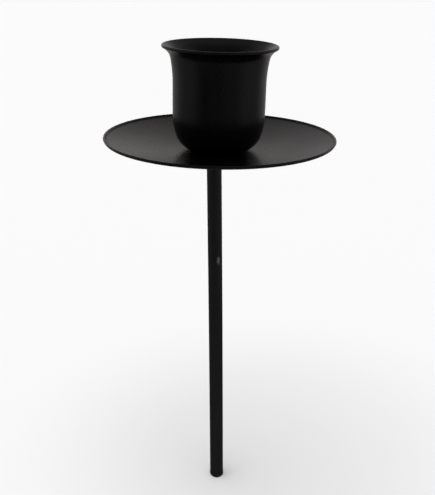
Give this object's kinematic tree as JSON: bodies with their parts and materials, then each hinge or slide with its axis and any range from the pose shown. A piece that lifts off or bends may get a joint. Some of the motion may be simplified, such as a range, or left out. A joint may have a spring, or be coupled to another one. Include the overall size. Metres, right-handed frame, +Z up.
{
  "type": "taper candle stand on a spike",
  "caption": "Black steel taper candle cup with a flared lip, on a round dished drip plate, with a long spike below that is pricked into a wreath.",
  "frame": {"origin": "centre of the drip plate's underside, where the plate stops on the wreath", "axes": "+Z up along the axis of the candle cup; +X to the right as the picture shows it, the side towards which the spike's tip leans"},
  "size_m": [0.06, 0.06, 0.1303],
  "materials": {
    "black_coat": "satin black powder coat"
  },
  "bodies": {
    "root": {"candle_cup": "black_coat", "drip_plate": "black_coat", "spike": "black_coat", "spike_weld": "black_coat"}
  },
  "joints": []
}
